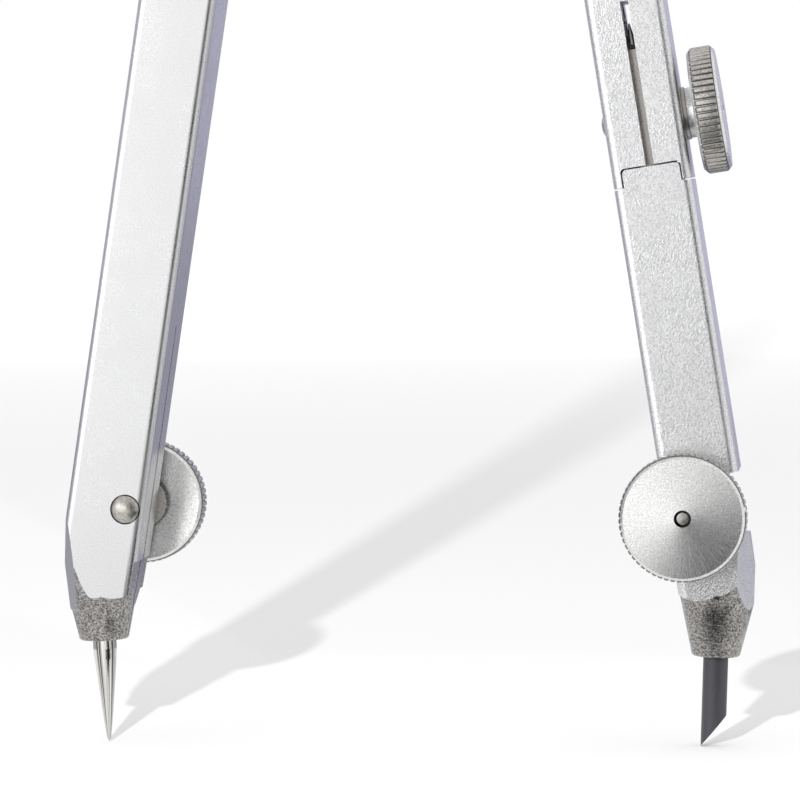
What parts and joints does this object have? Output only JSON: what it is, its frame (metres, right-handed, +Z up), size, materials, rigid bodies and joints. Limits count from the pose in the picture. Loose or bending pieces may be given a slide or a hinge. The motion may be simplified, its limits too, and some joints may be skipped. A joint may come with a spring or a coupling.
{
  "type": "drafting compass",
  "caption": "Satin chrome drafting compass with geared head, knurled handle, clamped needle leg and a socket leg with a removable lead insert, each held by a knurled wheel.",
  "frame": {"origin": "on the paper, midway between the two points, under the middle of the head", "axes": "+X from the needle to the lead, -Y the front of the compass, +Z up the handle"},
  "size_m": [0.0558, 0.0128, 0.1694],
  "materials": {
    "satin_chrome": "bead-blasted satin plating on die-cast legs",
    "turned_steel": "turned faces and straight knurl",
    "plain_steel": "plain machined",
    "polished_steel": "polished",
    "bronze": "plain",
    "graphite": "satin"
  },
  "bodies": {
    "head": {"head_front_plate": "satin_chrome", "head_rear_plate": "satin_chrome", "head_block": "plain_steel", "plate_rivets": "polished_steel", "pivot_screw_left": "polished_steel", "pivot_screw_right": "polished_steel", "pivot_nuts": "polished_steel", "friction_washers": "bronze", "handle_collar": "satin_chrome", "handle_stud": "plain_steel", "handle_grip": "satin_chrome", "handle_cap": "polished_steel"},
    "needle_leg": {"needle_leg": "satin_chrome", "needle_clamp_stud": "polished_steel", "needle_clamp_washer": "plain_steel"},
    "needle_wheel": {"needle_clamp_wheel": "turned_steel"},
    "needle": {"needle": "polished_steel"},
    "socket_leg": {"socket_leg": "satin_chrome", "socket_clamp_stud": "polished_steel", "socket_clamp_washer": "plain_steel"},
    "socket_wheel": {"socket_clamp_wheel": "turned_steel"},
    "insert": {"lead_insert": "satin_chrome", "insert_shank": "plain_steel", "lead_clamp_stud": "polished_steel", "lead_clamp_washer": "plain_steel"},
    "lead_wheel": {"lead_clamp_wheel": "turned_steel"},
    "lead": {"lead": "graphite"}
  },
  "joints": [
    {"name": "needle_leg_pivot", "type": "hinge", "parent": "head", "child": "needle_leg", "pos_m": [-0.0055, 0, 0.139], "axis": [0, 1, 0], "range_deg": [-9, 21]},
    {"name": "socket_leg_pivot", "type": "hinge", "parent": "head", "child": "socket_leg", "pos_m": [0.0055, 0, 0.139], "axis": [0, 1, 0], "range_deg": [-21, 9]},
    {"name": "needle_wheel_turn", "type": "hinge", "parent": "needle_leg", "child": "needle_wheel", "pos_m": [-0.02238, 0, 0.01917], "axis": [0, 1, 0], "range_deg": [0, 720]},
    {"name": "needle_slide", "type": "slide", "parent": "needle_leg", "child": "needle", "axis": [0.0349, 0, -0.9994], "range_m": [-0.0005, 0.004]},
    {"name": "socket_wheel_turn", "type": "hinge", "parent": "socket_leg", "child": "socket_wheel", "pos_m": [0.02233, 0.00055, 0.05053], "axis": [0.9882, 0, 0.153], "range_deg": [0, 720]},
    {"name": "insert_slide", "type": "slide", "parent": "socket_leg", "child": "insert", "axis": [0.153, 0, -0.9882], "range_m": [0, 0.014]},
    {"name": "lead_wheel_turn", "type": "hinge", "parent": "insert", "child": "lead_wheel", "pos_m": [0.02244, 0, 0.01878], "axis": [0, -1, 0], "range_deg": [0, 720]},
    {"name": "lead_slide", "type": "slide", "parent": "insert", "child": "lead", "axis": [-0.0349, 0, -0.9994], "range_m": [-0.0005, 0.004]}
  ],
  "couplings": [
    {"joint": "socket_leg_pivot", "follows": "needle_leg_pivot", "ratio": -1}
  ]
}
